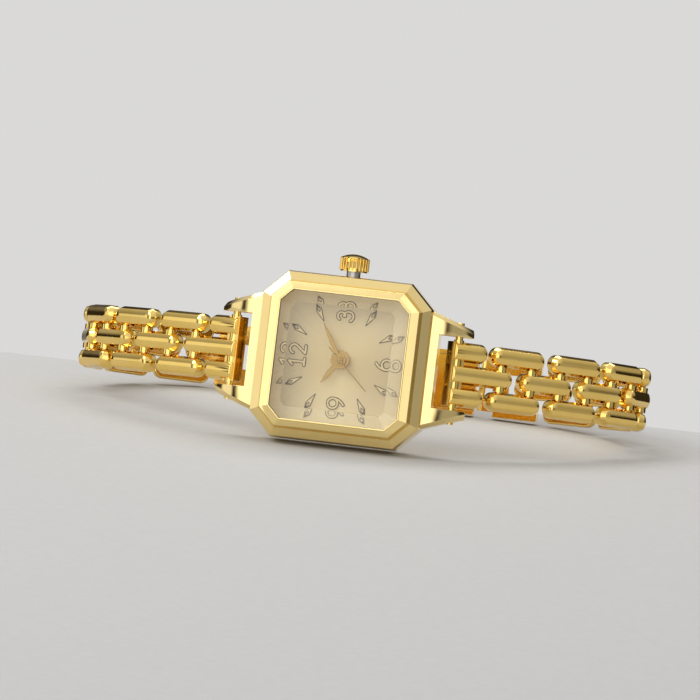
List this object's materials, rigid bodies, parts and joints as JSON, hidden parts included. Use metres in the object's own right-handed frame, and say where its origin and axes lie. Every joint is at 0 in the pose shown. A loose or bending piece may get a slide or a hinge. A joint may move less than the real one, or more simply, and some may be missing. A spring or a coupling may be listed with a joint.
{
  "type": "square bracelet watch",
  "caption": "Small square dress watch with cut corners, a stepped bezel, a faceted crystal, a fluted crown and a three-row beaded bracelet with a fold-over clasp.",
  "frame": {"origin": "middle of the case back's outer face", "axes": "+X from 12 o'clock to 6 o'clock, +Y from the dial into the wrist space, +Z from 9 o'clock to 3 o'clock, where the crown stands"},
  "size_m": [0.0694, 0.045, 0.0225],
  "materials": {
    "polished_gold": "mirror-polished yellow gold plating",
    "watch_glass": "clear mineral glass with polished facets",
    "champagne_dial": "champagne sunray brushing under clear lacquer",
    "dial_relief": "stamped champagne relief with fine edges",
    "hand_gold": "polished gold",
    "steel": "fine turned steel",
    "movement_brass": "fine brushed brass",
    "seal_rubber": "matte black",
    "holder_plastic": "moulded white",
    "board_plastic": "green lacquered board",
    "coil_copper": "fine enamelled copper winding"
  },
  "bodies": {
    "head": {"case_middle": "polished_gold", "bezel": "polished_gold", "crystal": "watch_glass", "crystal_gasket": "seal_rubber", "dial": "champagne_dial", "dial_numerals": "dial_relief", "dial_markers": "dial_relief", "movement_holder": "holder_plastic", "main_plate": "movement_brass", "train_bridge": "movement_brass", "circuit_board": "board_plastic", "coil": "coil_copper", "stator": "steel", "battery": "steel", "battery_clamp": "steel", "case_back": "polished_gold", "case_back_gasket": "seal_rubber", "crown_tube": "steel", "spring_bars": "polished_gold"},
    "minute": {"cannon_pinion": "movement_brass", "minute_hand": "hand_gold"},
    "minute_work": {"minute_wheel": "movement_brass"},
    "hour": {"hour_wheel": "movement_brass", "hour_hand": "hand_gold"},
    "seconds": {"seconds_wheel": "movement_brass", "second_hand": "hand_gold"},
    "intermediate": {"intermediate_wheel": "movement_brass"},
    "rotor": {"rotor": "steel"},
    "setting": {"sliding_pinion": "steel"},
    "crown": {"crown": "polished_gold", "winding_stem": "steel"},
    "end_link_12": {"end_link_12": "polished_gold"},
    "outer_link_12_1": {"outer_link_12_1": "polished_gold"},
    "middle_link_12_1": {"middle_link_12_1": "polished_gold"},
    "outer_link_12_2": {"outer_link_12_2": "polished_gold"},
    "middle_link_12_2": {"middle_link_12_2": "polished_gold"},
    "outer_link_12_3": {"outer_link_12_3": "polished_gold"},
    "middle_link_12_3": {"middle_link_12_3": "polished_gold"},
    "outer_link_12_4": {"outer_link_12_4": "polished_gold"},
    "middle_link_12_4": {"middle_link_12_4": "polished_gold"},
    "outer_link_12_5": {"outer_link_12_5": "polished_gold"},
    "middle_link_12_5": {"middle_link_12_5": "polished_gold"},
    "outer_link_12_6": {"outer_link_12_6": "polished_gold"},
    "middle_link_12_6": {"middle_link_12_6": "polished_gold"},
    "clasp_base": {"clasp_base": "polished_gold"},
    "end_link_6": {"end_link_6": "polished_gold"},
    "outer_link_6_1": {"outer_link_6_1": "polished_gold"},
    "middle_link_6_1": {"middle_link_6_1": "polished_gold"},
    "outer_link_6_2": {"outer_link_6_2": "polished_gold"},
    "middle_link_6_2": {"middle_link_6_2": "polished_gold"},
    "outer_link_6_3": {"outer_link_6_3": "polished_gold"},
    "middle_link_6_3": {"middle_link_6_3": "polished_gold"},
    "outer_link_6_4": {"outer_link_6_4": "polished_gold"},
    "middle_link_6_4": {"middle_link_6_4": "polished_gold"},
    "outer_link_6_5": {"outer_link_6_5": "polished_gold"},
    "middle_link_6_5": {"middle_link_6_5": "polished_gold"},
    "outer_link_6_6": {"outer_link_6_6": "polished_gold"},
    "middle_link_6_6": {"middle_link_6_6": "polished_gold"},
    "hook_plate": {"hook_plate": "polished_gold"},
    "clasp_cover": {"clasp_cover": "polished_gold"}
  },
  "joints": [
    {"name": "minute_turn", "type": "hinge", "parent": "head", "child": "minute", "pos_m": [0, -0.003, 0], "axis": [0, 1, 0], "continuous": true},
    {"name": "minute_wheel_turn", "type": "hinge", "parent": "head", "child": "minute_work", "pos_m": [0, -0.003, 0.002], "axis": [0, 1, 0], "continuous": true},
    {"name": "hour_turn", "type": "hinge", "parent": "head", "child": "hour", "pos_m": [0, -0.003, 0], "axis": [0, 1, 0], "continuous": true},
    {"name": "seconds_turn", "type": "hinge", "parent": "head", "child": "seconds", "pos_m": [0, -0.003, 0], "axis": [0, 1, 0], "continuous": true},
    {"name": "intermediate_turn", "type": "hinge", "parent": "head", "child": "intermediate", "pos_m": [-0.0013, -0.003, -0.00173], "axis": [0, 1, 0], "continuous": true},
    {"name": "rotor_turn", "type": "hinge", "parent": "head", "child": "rotor", "pos_m": [-0.00261, -0.003, -0.00239], "axis": [0, 1, 0], "continuous": true},
    {"name": "crown_turn", "type": "hinge", "parent": "head", "child": "setting", "pos_m": [0, -0.002, 0.00275], "axis": [0, 0, 1], "continuous": true},
    {"name": "crown_slide", "type": "slide", "parent": "setting", "child": "crown", "axis": [0, 0, 1], "range_m": [-0.00062, 0]},
    {"name": "end_link_12_hinge", "type": "hinge", "parent": "head", "child": "end_link_12", "pos_m": [-0.01325, -0.00125, 0], "axis": [0, 0, -1], "range_deg": [-37, 0]},
    {"name": "outer_link_12_1_hinge", "type": "hinge", "parent": "end_link_12", "child": "outer_link_12_1", "pos_m": [-0.01825, 0.00188, 0], "axis": [0, 0, -1], "range_deg": [-6, 0]},
    {"name": "middle_link_12_1_hinge", "type": "hinge", "parent": "outer_link_12_1", "child": "middle_link_12_1", "pos_m": [-0.02161, 0.00406, 0], "axis": [0, 0, -1], "range_deg": [-8, 0]},
    {"name": "outer_link_12_2_hinge", "type": "hinge", "parent": "middle_link_12_1", "child": "outer_link_12_2", "pos_m": [-0.02484, 0.00641, 0], "axis": [0, 0, -1], "range_deg": [-11, 0]},
    {"name": "middle_link_12_2_hinge", "type": "hinge", "parent": "outer_link_12_2", "child": "middle_link_12_2", "pos_m": [-0.02782, 0.00908, 0], "axis": [0, 0, -1], "range_deg": [-12, 0]},
    {"name": "outer_link_12_3_hinge", "type": "hinge", "parent": "middle_link_12_2", "child": "outer_link_12_3", "pos_m": [-0.03044, 0.0121, 0], "axis": [0, 0, -1], "range_deg": [-15, 0]},
    {"name": "middle_link_12_3_hinge", "type": "hinge", "parent": "outer_link_12_3", "child": "middle_link_12_3", "pos_m": [-0.0325, 0.01553, 0], "axis": [0, 0, -1], "range_deg": [-21, 0]},
    {"name": "outer_link_12_4_hinge", "type": "hinge", "parent": "middle_link_12_3", "child": "outer_link_12_4", "pos_m": [-0.03354, 0.01939, 0], "axis": [0, 0, -1], "range_deg": [-25, 0]},
    {"name": "middle_link_12_4_hinge", "type": "hinge", "parent": "outer_link_12_4", "child": "middle_link_12_4", "pos_m": [-0.03319, 0.02338, 0], "axis": [0, 0, -1], "range_deg": [-23, 0]},
    {"name": "outer_link_12_5_hinge", "type": "hinge", "parent": "middle_link_12_4", "child": "outer_link_12_5", "pos_m": [-0.03162, 0.02706, 0], "axis": [0, 0, -1], "range_deg": [-20, 0]},
    {"name": "middle_link_12_5_hinge", "type": "hinge", "parent": "outer_link_12_5", "child": "middle_link_12_5", "pos_m": [-0.02916, 0.03021, 0], "axis": [0, 0, -1], "range_deg": [-20, 0]},
    {"name": "outer_link_12_6_hinge", "type": "hinge", "parent": "middle_link_12_5", "child": "outer_link_12_6", "pos_m": [-0.02597, 0.03262, 0], "axis": [0, 0, -1], "range_deg": [-18, 0]},
    {"name": "middle_link_12_6_hinge", "type": "hinge", "parent": "outer_link_12_6", "child": "middle_link_12_6", "pos_m": [-0.02231, 0.03425, 0], "axis": [0, 0, -1], "range_deg": [-18, 0]},
    {"name": "clasp_base_hinge", "type": "hinge", "parent": "middle_link_12_6", "child": "clasp_base", "pos_m": [-0.01839, 0.03501, 0], "axis": [0, 0, -1], "range_deg": [-16, 0]},
    {"name": "end_link_6_hinge", "type": "hinge", "parent": "head", "child": "end_link_6", "pos_m": [0.01325, -0.00125, 0], "axis": [0, 0, 1], "range_deg": [-37, 0]},
    {"name": "outer_link_6_1_hinge", "type": "hinge", "parent": "end_link_6", "child": "outer_link_6_1", "pos_m": [0.01825, 0.00188, 0], "axis": [0, 0, 1], "range_deg": [-6, 0]},
    {"name": "middle_link_6_1_hinge", "type": "hinge", "parent": "outer_link_6_1", "child": "middle_link_6_1", "pos_m": [0.02161, 0.00406, 0], "axis": [0, 0, 1], "range_deg": [-8, 0]},
    {"name": "outer_link_6_2_hinge", "type": "hinge", "parent": "middle_link_6_1", "child": "outer_link_6_2", "pos_m": [0.02484, 0.00641, 0], "axis": [0, 0, 1], "range_deg": [-11, 0]},
    {"name": "middle_link_6_2_hinge", "type": "hinge", "parent": "outer_link_6_2", "child": "middle_link_6_2", "pos_m": [0.02782, 0.00908, 0], "axis": [0, 0, 1], "range_deg": [-12, 0]},
    {"name": "outer_link_6_3_hinge", "type": "hinge", "parent": "middle_link_6_2", "child": "outer_link_6_3", "pos_m": [0.03044, 0.0121, 0], "axis": [0, 0, 1], "range_deg": [-15, 0]},
    {"name": "middle_link_6_3_hinge", "type": "hinge", "parent": "outer_link_6_3", "child": "middle_link_6_3", "pos_m": [0.0325, 0.01553, 0], "axis": [0, 0, 1], "range_deg": [-21, 0]},
    {"name": "outer_link_6_4_hinge", "type": "hinge", "parent": "middle_link_6_3", "child": "outer_link_6_4", "pos_m": [0.03354, 0.01939, 0], "axis": [0, 0, 1], "range_deg": [-25, 0]},
    {"name": "middle_link_6_4_hinge", "type": "hinge", "parent": "outer_link_6_4", "child": "middle_link_6_4", "pos_m": [0.03319, 0.02338, 0], "axis": [0, 0, 1], "range_deg": [-23, 0]},
    {"name": "outer_link_6_5_hinge", "type": "hinge", "parent": "middle_link_6_4", "child": "outer_link_6_5", "pos_m": [0.03162, 0.02706, 0], "axis": [0, 0, 1], "range_deg": [-20, 0]},
    {"name": "middle_link_6_5_hinge", "type": "hinge", "parent": "outer_link_6_5", "child": "middle_link_6_5", "pos_m": [0.02916, 0.03021, 0], "axis": [0, 0, 1], "range_deg": [-20, 0]},
    {"name": "outer_link_6_6_hinge", "type": "hinge", "parent": "middle_link_6_5", "child": "outer_link_6_6", "pos_m": [0.02597, 0.03262, 0], "axis": [0, 0, 1], "range_deg": [-18, 0]},
    {"name": "middle_link_6_6_hinge", "type": "hinge", "parent": "outer_link_6_6", "child": "middle_link_6_6", "pos_m": [0.02231, 0.03425, 0], "axis": [0, 0, 1], "range_deg": [-18, 0]},
    {"name": "hook_plate_hinge", "type": "hinge", "parent": "middle_link_6_6", "child": "hook_plate", "pos_m": [0.01839, 0.03501, 0], "axis": [0, 0, 1], "range_deg": [-16, 0]},
    {"name": "clasp_cover_hinge", "type": "hinge", "parent": "clasp_base", "child": "clasp_cover", "pos_m": [-0.01289, 0.03557, 0], "axis": [0, 0, 1], "range_deg": [0, 100]}
  ],
  "couplings": [
    {"joint": "minute_wheel_turn", "follows": "minute_turn", "ratio": -0.33333},
    {"joint": "hour_turn", "follows": "minute_turn", "ratio": 0.083333},
    {"joint": "crown_turn", "follows": "minute_turn", "ratio": -0.71429},
    {"joint": "intermediate_turn", "follows": "seconds_turn", "ratio": -5},
    {"joint": "rotor_turn", "follows": "seconds_turn", "ratio": 30}
  ]
}
